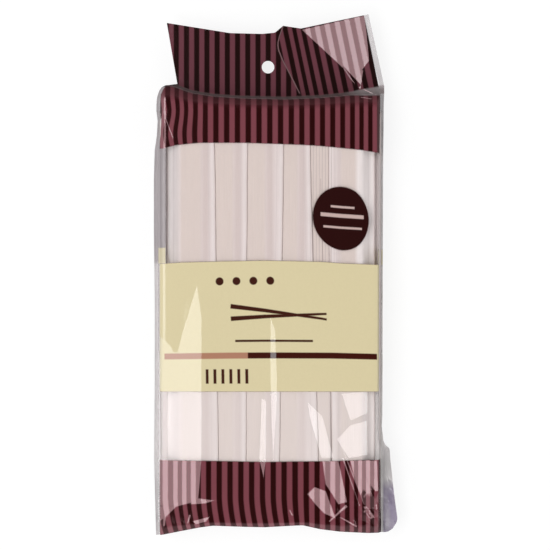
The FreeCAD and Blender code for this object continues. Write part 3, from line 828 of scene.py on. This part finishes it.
def header_grid(seal_x):
    """The header above the seal: X, Y, height, share of its height, and the column of its crease."""
    crease = int(np.argmin(np.abs(seal_x - HEADER_CREASE[0])))
    beyond = np.arange(len(seal_x)) > crease
    left_share = (seal_x - seal_x[0]) / (seal_x[crease] - seal_x[0])
    right_share = (seal_x - seal_x[crease]) / (seal_x[-1] - seal_x[crease])

    def across(up, bend):
        left, fold, right = lerp(*HEADER_LEFT, up), lerp(*HEADER_CREASE, up) + bend, lerp(*HEADER_RIGHT, up)
        return np.where(beyond, lerp(fold, right, right_share), lerp(left, fold, left_share)), fold

    low, high = along(HEADER_BASE, across(0, 0)[0]), along(HEADER_TOP, across(1, 0)[0])
    up = header_levels()[:, None]
    x, fold = across(up, along(CREASE_BEND, up))
    y = lerp(low, high, up)
    away = np.abs(x - fold) / np.where(beyond, CREASE_RUN[1], CREASE_RUN[0])
    ridge = CREASE_STEP * smooth(up, 0, 0.6) * np.clip(1 - away, 0, None)
    lift = corner_lift(x, y) * smooth(up, 0, 0.25)
    wave = 0.08 * np.sin(x / 9.0) * up * np.where(beyond, 0.0, smooth(fold - x, 0, 10))
    return x, y, ridge + lift + wave, np.broadcast_to(up, x.shape), crease


# Edges of the printed bands: place along the flat film, and where they lie on the bag as (X, Y)
BAND_EDGES = [
    (FOOT_BAND, [(-56, -72), (-3, -73), (30, -72.6), (56, -71.8)]),
    (CREAM_FOOT, [(-56, -38), (56, -38)]),
    (BAR_PLACE, [(-56, -20.6), (-20, -20.1), (0, -20), (30, -20.1), (54, -20.7)]),
    (CREAM_TOP, [(-54, 25.6), (-45.5, 26.2), (-28, 26.7), (-3, 27.2), (25, 26.6), (35, 25.8), (53, 25.1)]),
    (TOP_BAND, [
        (-54, 82.8), (-47.5, 84.5), (-40.5, 85.3), (-35, 85.75), (-13, 85.75), (14.5, 84.8),
        (24.5, 84.2), (44.5, 82.2), (54.5, 80.5),
    ]),
    (SEAL_PLACE, SEAL_LINE),
]


def bowed(x, y):
    """The print's place along the bag: its band edges bow as the film is drawn round the sleeves."""
    edges = [(place, along(line, x)) for place, line in BAND_EDGES]
    step = edges[0][0] - edges[0][1]
    for (_, low), (place, high) in zip(edges, edges[1:]):
        step = lerp(step, place - high, np.clip((y - low) / (high - low), 0, 1))
    return y + step


def header_place(x, y, beyond):
    """The print's place across the header, on both sides of its crease."""
    leaning = along(HEADER_BEYOND, x + HEADER_LEAN * (y - LEAN_CENTRE))
    return np.where(beyond, leaning, HEADER_SCALE * x + HEADER_SHIFT)


def stripe_place(x, y, beyond):
    """The print's place across the bag: it leans and waves where the film is gathered."""
    gather = np.clip((-90 - y) / 15, 0, None) ** 1.7
    drawn = x - along(FOOT_LEAN, x) * gather - along(FOOT_SHIFT, x) * smooth(-y, -60, 60)
    s = np.interp(drawn, *zip(*PRINT_ACROSS))
    left = smooth(-x, 30, 56)
    top = smooth(y, 78, 88) * (1 - smooth(y, 104, 110))
    s = s + 1.1 * np.sin((y - 84) / 3.9) * left * top
    seal_y = along(SEAL_LINE, x)
    return lerp(s, header_place(x, y, beyond), smooth(y - seal_y, -1.2, 0.3))


def strip_grid():
    """The header's spare width folded behind its left edge: X, Y and height of its middle."""
    across = np.concatenate([[0.0], np.linspace(0.3, STRIP_WIDTH, 15)])
    up = np.linspace(0.02, 0.985, 32)[:, None]
    foot, head = HEADER_LEFT
    x = lerp(foot, head, up) + 0.25 + across
    y = lerp(along(HEADER_BASE, foot + across) + 0.3, along(HEADER_TOP, head + across) - 0.5, up)
    drop = 0.45 + 0.6 * smooth(across, 0, 3) + 0.25 * np.sin(across / 4)
    return x, y, np.broadcast_to(SEAM - WELD_GAP - drop, x.shape)


class Shell:
    """Collects corners and faces of one closed mesh, with the film's chart for every face corner."""

    def __init__(self):
        self.corners = []
        self.faces = []
        self.chart = []
        self.haze = []

    def grid(self, xs, ys, zs, s, t, haze, upwards, keep=None):
        start = sum(len(c) for c in self.corners)
        self.corners.append(np.stack([xs, ys, zs], -1).reshape(-1, 3))
        self.haze.append(haze.reshape(-1))
        index = start + np.arange(xs.size).reshape(xs.shape)
        low, high = index[:-1], index[1:]
        quads = np.stack([low[:, :-1], low[:, 1:], high[:, 1:], high[:, :-1]], -1).reshape(-1, 4)
        if keep is not None:
            quads = quads[keep.reshape(-1)]
        if not upwards:
            quads = quads[:, ::-1]
        self.faces.append(quads)
        flat = np.stack([s, t], -1).reshape(-1, 2)
        self.chart.append(flat[quads - start])
        return index

    def rim(self, upper, lower, s, t):
        """Walls between two matching loops of corners, the upper one going anticlockwise."""
        quads = np.stack([upper, lower, np.roll(lower, -1), np.roll(upper, -1)], -1)
        self.faces.append(quads)
        chart = np.stack([s, t], -1)
        after = np.roll(chart, -1, axis=0)
        self.chart.append(np.stack([chart, chart, after, after], 1))

    def build(self, name, material):
        mesh = bpy.data.meshes.new(name)
        corners = np.concatenate(self.corners) * MM
        faces = np.concatenate(self.faces)
        mesh.from_pydata(corners.tolist(), [], faces.tolist())
        layer = mesh.uv_layers.new(name="film")
        layer.data.foreach_set("uv", np.concatenate(self.chart).astype(np.float32).ravel())
        haze = mesh.attributes.new("haze", "FLOAT", "POINT")
        haze.data.foreach_set("value", np.concatenate(self.haze).astype(np.float32))
        mesh.shade_smooth()
        mesh.set_sharp_from_angle(angle=math.radians(RIM_ANGLE))
        mesh.materials.append(material)
        return mesh


def loop_of(index):
    """The corners round the outside of a grid, anticlockwise."""
    return np.concatenate([index[0, :-1], index[:-1, -1], index[-1, :0:-1], index[:0:-1, 0]])


# How milky the film is: welds, columns beside them, seal, right edge of the header, and its crease, which
# also marks where the crease's highlight is painted
WELD_HAZE = 1.0
BESIDE_HAZE = 0.45
BESIDE_COLUMNS = 4
SEAL_HAZE = 0.3
HEADER_EDGE_HAZE = 0.5
HEADER_EDGE_COLUMNS = 5
CREASE_HAZE = (0.12, 0.3, 0.6, 0.3, 0.12)


def film_haze(shape, pouch_rows, crease):
    """The film's milkiness at every corner of its grid."""
    haze = np.zeros(shape)
    left, right = len(LEFT_FLAT), shape[1] - len(RIGHT_FLAT)
    haze[:pouch_rows, :left] = WELD_HAZE
    haze[:pouch_rows, right:] = WELD_HAZE
    haze[:pouch_rows, left : left + BESIDE_COLUMNS] = BESIDE_HAZE
    haze[:pouch_rows, right - BESIDE_COLUMNS : right] = BESIDE_HAZE
    haze[pouch_rows - 1 : pouch_rows + 1] = SEAL_HAZE
    haze[pouch_rows:, -HEADER_EDGE_COLUMNS:] = HEADER_EDGE_HAZE
    haze[pouch_rows:, crease - 2 : crease + 3] = CREASE_HAZE
    return haze


def pouch_heights(x, y, full):
    """Heights of the pouch's front and back, with the front's relief and the ripples of the welds."""
    stand = relief(x, y) * smooth(full, 0.75, 1.0)
    front = SEAM + WELD_GAP + (HEIGHT - 0.1 - SEAM - WELD_GAP) * full + stand
    back = (SEAM - WELD_GAP) * (1 - full)
    ripple = 0.35 * np.sin(y / 3.1) * np.sin(y / 7.7 + 1) * smooth(1 - full, 0.6, 1.0)
    ripple = np.where(np.abs(y) < END, ripple, 0)
    loose = smooth(x, FLAP_ROOT + 0.5, FLAP_ROOT + 4)
    ripple = ripple + loose * (0.9 * np.sin(y / 2.7 + x / 1.9) + 0.6 * np.sin(y / 6.1))
    return front + ripple, back + ripple * smooth(back, 2, 8)


def touching(cells):
    """The corners of a grid that touch any of the given cells."""
    around = np.pad(cells, 1)
    return around[:-1, :-1] | around[:-1, 1:] | around[1:, :-1] | around[1:, 1:]


def punched(x, y):
    """X and Y with the hang hole's rim set on its circle, the cells outside it, and its rim."""
    cell_x = (x[:-1, :-1] + x[1:, 1:]) / 2 - HOLE_CENTRE[0]
    cell_y = (y[:-1, :-1] + y[1:, 1:]) / 2 - HOLE_CENTRE[1]
    keep = np.hypot(cell_x, cell_y) > HOLE_RADIUS
    edge = touching(~keep) & touching(keep)
    away_x, away_y = x - HOLE_CENTRE[0], y - HOLE_CENTRE[1]
    scale = HOLE_RADIUS / np.hypot(away_x, away_y)
    x = np.where(edge, HOLE_CENTRE[0] + away_x * scale, x)
    return x, np.where(edge, HOLE_CENTRE[1] + away_y * scale, y), keep, edge


def add_strip(shell):
    """The header's spare width folded behind its left edge, as a thin closed slab."""
    x, y, z = strip_grid()
    s = BACK_OFFSET + STRIP_PRINT - (x - x[:, :1])
    t = np.full_like(x, SEAL_PLACE + 12)
    clear = np.zeros_like(x)
    upper = shell.grid(x, y, z + STRIP_HALF, s, t, clear, True)
    lower = shell.grid(x, y, z - STRIP_HALF, s, t, clear, False)
    around = loop_of(upper)
    inside = around - upper[0, 0]
    shell.rim(around, loop_of(lower), s.reshape(-1)[inside], t.reshape(-1)[inside])


def film_bag(material):
    """The whole bag in one piece: pouch, welds, seal, header with its hole, and the folded strip."""
    px, py, full = pouch_grid()
    full = np.where(full < 1e-6, 0, full)
    front_z, back_z = pouch_heights(px, py, full)
    hx, hy, rise, ups, crease = header_grid(px[-1])
    thick = WELD_GAP + 0.12 * smooth(ups, 0, 0.2)
    xs, ys = np.concatenate([px, hx]), np.concatenate([py, hy])
    upper = np.concatenate([front_z, SEAM + thick + rise])
    lower = np.concatenate([back_z, SEAM - thick + rise])

    beyond = np.arange(px.shape[1])[None, :] > crease
    s = np.concatenate([stripe_place(px, py, beyond), header_place(hx, hy, beyond)])
    t = np.concatenate([bowed(px, py), SEAL_PLACE + 1.6 + ups * HEADER_HEIGHT])
    haze = film_haze(xs.shape, len(px), crease)
    xs, ys, keep, edge = punched(xs, ys)

    shell = Shell()
    top = shell.grid(xs, ys, upper, s, t, haze, True, keep)
    bottom = shell.grid(xs, ys, lower, s + BACK_OFFSET, t, haze, False, keep)
    flat_s, flat_t = s.reshape(-1), t.reshape(-1)
    outer = loop_of(top)
    shell.rim(outer, loop_of(bottom), flat_s[outer], flat_t[outer])
    angles = np.arctan2((ys - HOLE_CENTRE[1])[edge], (xs - HOLE_CENTRE[0])[edge])
    rim = top[edge][np.argsort(-angles)]
    shell.rim(rim, rim + bottom[0, 0] - top[0, 0], flat_s[rim], flat_t[rim])
    add_strip(shell)
    return placed("film_bag_skin", shell.build("film_bag_skin", material))


# Paper sleeves, in millimetres
BODY_HALF = 5.65
BODY_TALL = 4.9
WING_THICK = 0.4
LAYER_PITCH = 5.4
BUNDLE_FLOOR = 0.6
COLUMN_PITCH = 16.0
SLEEVE_LENGTH = 204.0
END_SLACK = 2.6
WRINKLE = 0.16
COLUMNS = 6
LAYERS = 5
# Wings: how far they reach from the middle, plain and tucked in, and at the sides of the lower layers
FULL_REACH = 12.0
TUCKED_REACH = 9.85
SPREAD_REACH = [13.2, 14.2, 14.8, 15.4]
SPREAD_LEFT_HEAD = 0.4
SPREAD_RIGHT_FOOT = -0.6
# Wings of the top layer by column, as reach at the foot, reach at the head, and lift
SHOWN_LEFT = {6: (9.4, 11.8, 1.0)}
SHOWN_RIGHT = {
    1: (14.4, 12.0, 1.0),
    2: (11.6, 12.6, 1.0),
    3: (12.0, 14.8, 1.0),
    4: (16.6, 11.2, 1.0),
}
# Faces around and along a sleeve that shows and one that lies under others
SHOWN_FACES = (72, 110)
HIDDEN_FACES = (32, 40)

SLEEVE_INPUTS = {
    "NodeSocketInt": ["Around", "Along"],
    "NodeSocketFloat": [
        "Left Reach Foot", "Left Reach Head", "Left Wing Lift",
        "Right Reach Foot", "Right Reach Head", "Right Wing Lift",
        "Sleeve Length", "Body Half Width", "Body Thickness", "Wing Thickness",
        "End Slack", "Wrinkle Height", "Seed",
    ],
    "NodeSocketVector": ["Centre"],
}


def sleeve_reach(g, v, value, side, shift):
    """How far the wing on one side reaches, with the flutter of its edge."""
    foot, head = value(f"{side} Reach Foot"), value(f"{side} Reach Head")
    flutter = g.noise(g.combine(v * 7.0, value("Seed") + shift), 1.0, 2.0) - 0.5
    return g.math("MULTIPLY_ADD", v, head - foot, foot) + flutter * value("Wrinkle Height") * 5.0


def sleeve_heights(g, out, lift, value):
    """Heights of the upper and the lower paper, where out is 0 at the body and 1 at the wing's edge."""
    tall, thick = value("Body Thickness"), value("Wing Thickness")
    low_top = g.ramp(out, -0.12, 0.75, tall, thick)
    high_top = g.ramp(out, -0.1, 0.3, tall, tall + thick)
    return low_top + (high_top - low_top) * lift, g.ramp(out, 0.0, 0.5, 0.0, tall) * lift


def sleeve_group():
    """A node group with the sleeve's inputs and nothing in it yet."""
    tree = bpy.data.node_groups.new("paper_sleeve", "GeometryNodeTree")
    tree.is_modifier = True
    for kind, names in SLEEVE_INPUTS.items():
        for name in names:
            tree.interface.new_socket(name=name, in_out="INPUT", socket_type=kind)
    tree.interface.new_socket(name="Geometry", in_out="OUTPUT", socket_type="NodeSocketGeometry")
    return tree


def sleeve_mesh(g, geometry, marks, place, material):
    """The sheet moved to the sleeve's shape and closed, with marks for the tones of its paper."""
    for name, item in marks.items():
        stored = {"Geometry": geometry, "Name": name, "Value": item * (1 / MM)}
        node = g.add("GeometryNodeStoreNamedAttribute", stored, data_type="FLOAT", domain="POINT")
        geometry = node.outputs[0]
    steps = [
        ("GeometryNodeSetPosition", "Geometry", {"Position": place}),
        ("GeometryNodeMergeByDistance", "Geometry", {"Distance": 0.005 * MM}),
        ("GeometryNodeFlipFaces", "Mesh", {}),
        ("GeometryNodeSetShadeSmooth", "Geometry", {}),
        ("GeometryNodeRealizeInstances", "Geometry", {}),
        ("GeometryNodeSetMaterial", "Geometry", {"Material": material}),
    ]
    for kind, socket, settings in steps:
        geometry = g.add(kind, {socket: geometry, **settings}).outputs[0]
    return geometry


def sleeve_tree(material):
    """A flattened paper tube round one pair of sticks, with a wing of loose paper on each side."""
    tree = sleeve_group()
    g = Graph(tree)
    given = g.add("NodeGroupInput")

    def value(name):
        return Term(g, given.outputs[name])

    counts = {"Vertices X": value("Around") + 1, "Vertices Y": value("Along") + 1}
    grid = g.add("GeometryNodeMeshGrid", {"Size X": 1.0, "Size Y": 1.0, **counts})
    u, v, _ = g.split(g.add("GeometryNodeInputPosition").outputs[0])
    turn, v = (u + 0.5) * 2.0, v + 0.5
    above = 1 - g.math("GREATER_THAN", turn, 1.0)
    left, right = sleeve_reach(g, v, value, "Left", 0.0), sleeve_reach(g, v, value, "Right", 11.0)
    x = (1 - (turn - 1).size()) * (left + right) - left
    on_right = g.math("GREATER_THAN", x, 0.0)
    reach = g.math("MULTIPLY_ADD", on_right, right - left, left)
    left_lift, right_lift = value("Left Wing Lift"), value("Right Wing Lift")
    lift = g.math("MULTIPLY_ADD", on_right, right_lift - left_lift, left_lift)
    half, length = value("Body Half Width"), value("Sleeve Length")
    top, under = sleeve_heights(g, (x.size() - half) / (reach - half), lift, value)
    edge_close = g.ramp(reach - x.size(), 0.0, 0.5 * MM, 0.0, 1.0)
    end_close = g.ramp(v.least(1 - v) * length, 0.0, value("End Slack"), 0.0, 1.0)
    half_gap = (top - under) * 0.5 * (edge_close * end_close)
    wrinkle = g.noise(g.combine(x * 420.0, v * 9.0, value("Seed")), 1.0, 3.0)
    wrinkle = wrinkle * value("Wrinkle Height") * end_close * above * edge_close
    z = (top + under) * 0.5 + half_gap * (above * 2.0 - 1.0) + wrinkle
    place = g.vector("ADD", g.combine(x, (v - 0.5) * length, z), value("Centre"))
    marks = {"across": x, "to_edge": reach - x.size()}
    sleeve = sleeve_mesh(g, grid.outputs["Mesh"], marks, place, material)
    g.feed(g.add("NodeGroupOutput").inputs[0], sleeve)
    return tree


def made_by(tree, name, values):
    """A plain mesh object from a geometry tree and its named inputs."""
    carrier = placed("carrier", bpy.data.meshes.new("carrier"))
    modifier = carrier.modifiers.new("shape", "NODES")
    modifier.node_group = tree
    for item in tree.interface.items_tree:
        if item.in_out == "INPUT":
            modifier[item.identifier] = values[item.name]
    bpy.context.view_layer.update()
    evaluated = carrier.evaluated_get(bpy.context.evaluated_depsgraph_get())
    mesh = bpy.data.meshes.new_from_object(evaluated)
    mesh.name = name
    bpy.data.objects.remove(carrier)
    return placed(name, mesh)


def sleeve_wings(column, layer):
    """(reach at the foot, reach at the head, lift) of the left and the right wing."""
    tucked = (TUCKED_REACH, TUCKED_REACH, 0.0)
    left, right = tucked, (FULL_REACH, FULL_REACH, 1.0)
    if column == 1:
        left = (FULL_REACH, FULL_REACH, 0.0)
    if column == COLUMNS - 1:
        right = tucked
    if column == COLUMNS:
        left, right = (FULL_REACH, FULL_REACH, 1.0), (FULL_REACH, FULL_REACH, 0.0)
    if layer == LAYERS:
        return SHOWN_LEFT.get(column, left), SHOWN_RIGHT.get(column, right)
    spread = SPREAD_REACH[layer - 1]
    if column == 1:
        left = (spread, spread + SPREAD_LEFT_HEAD, 0.0)
    if column == COLUMNS:
        right = (spread + SPREAD_RIGHT_FOOT, spread, 0.0)
    return left, right


def sleeve_values(layer, column):
    """The tree's inputs for one sleeve."""
    shown = layer == LAYERS
    across = (column - (COLUMNS + 1) / 2) * COLUMN_PITCH * MM
    values = {
        "Sleeve Length": SLEEVE_LENGTH * MM,
        "Body Half Width": BODY_HALF * MM,
        "Body Thickness": BODY_TALL * MM,
        "Wing Thickness": WING_THICK * MM,
        "End Slack": END_SLACK * MM,
        "Wrinkle Height": WRINKLE * MM if shown else 0.0,
        "Centre": (across, 0.0, (BUNDLE_FLOOR + (layer - 1) * LAYER_PITCH) * MM),
        "Seed": float(layer * 10 + column),
    }
    values["Around"], values["Along"] = SHOWN_FACES if shown else HIDDEN_FACES
    for side, (foot, head, lift) in zip(("Left", "Right"), sleeve_wings(column, layer)):
        values[f"{side} Reach Foot"] = foot * MM
        values[f"{side} Reach Head"] = head * MM
        values[f"{side} Wing Lift"] = lift
    return values


def paper_sleeves(material):
    tree = sleeve_tree(material)
    for layer in range(1, LAYERS + 1):
        for column in range(1, COLUMNS + 1):
            piece = made_by(tree, f"sleeve_paper_{layer}_{column}", sleeve_values(layer, column))
            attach(piece, "root")
            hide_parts(f"paper_sleeve_{layer}_{column}")


def grey_shade(g, level):
    return g.add("ShaderNodeBsdfDiffuse", {"Color": (level, level, level, 1.0)}).outputs[0]


def floor_material():
    """White floor: bright where the camera sees it, and a plain grey for the light it gives back."""
    material, g = new_material("floor")
    glow = g.add("ShaderNodeEmission", {"Color": (1.0, 1.0, 1.0, 1.0), "Strength": 0.84})
    bright = g.add("ShaderNodeAddShader", {0: grey_shade(g, 0.19), 1: glow.outputs[0]})
    g.surface(g.shade_mix(g.seen_itself(), grey_shade(g, 0.72), bright.outputs[0]))
    return material


def floor():
    mesh = bpy.data.meshes.new("floor")
    reach, level = 6.0, -0.2 * MM
    signs = ((-1, -1), (1, -1), (1, 1), (-1, 1))
    mesh.from_pydata([(reach * x, reach * y, level) for x, y in signs], [], [(0, 1, 2, 3)])
    mesh.materials.append(floor_material())
    piece = placed("floor", mesh)


def studio_world():
    """Dim straight above, brighter towards the horizon, and white where the camera sees it."""
    world = bpy.data.worlds.new("studio")
    bpy.context.scene.world = world
    g = empty_graph(world)
    _, ahead, up = g.split(g.add("ShaderNodeTexCoord").outputs["Generated"])
    level = g.ramp(up, 0.8, 0.95, 1.0, 0.06, "LINEAR") * (1 - ahead.over(0.42, 0.4) * 0.8)
    strength = level + (1 - level) * g.seen_itself()
    shine = g.add("ShaderNodeBackground", {"Color": (1.0, 1.0, 1.0, 1.0), "Strength": strength})
    g.surface(shine.outputs[0], "ShaderNodeOutputWorld")


def softbox(name, centre, size, target, power):
    """A rectangular lamp turned to its target, in metres and watts."""
    lamp = bpy.data.lights.new(name, "AREA")
    lamp.shape = "RECTANGLE"
    lamp.size, lamp.size_y = size
    lamp.energy = power
    holder = placed(name, lamp)
    holder.location = centre
    holder.rotation_mode = "QUATERNION"
    holder.rotation_quaternion = (Vector(target) - Vector(centre)).to_track_quat("-Z", "Y")


def camera():
    """Straight above the pack, as wide as the photograph."""
    lens = bpy.data.cameras.new("camera")
    distance, focus, frame_width = 1.6, 0.02, 0.275
    lens.sensor_width = 36.0
    lens.lens = lens.sensor_width * (distance - focus) / frame_width
    lens.clip_start, lens.clip_end = 0.01, 50.0
    holder = placed("camera", lens)
    holder.location = (0.002, 0.02, distance)
    bpy.context.scene.camera = holder


def main():
    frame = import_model()
    camera()
    film, paper, wood = film_material(), paper_material(), wood_material()
    for name, node in frame["nodes"].items():
        if name.startswith("chopstick_pairs"):
            node.data.materials.clear()
            node.data.materials.append(wood)
    bag = film_bag(film)
    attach(bag, "root")
    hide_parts("film_bag")
    paper_sleeves(paper)
    floor()
    studio_world()
    softbox("key", (-0.475, 0.0, 1.45), (1.3, 0.55), (0.0, 0.02, 0.02), 11.0)
    bpy.context.scene.view_settings.view_transform = "Standard"


main()
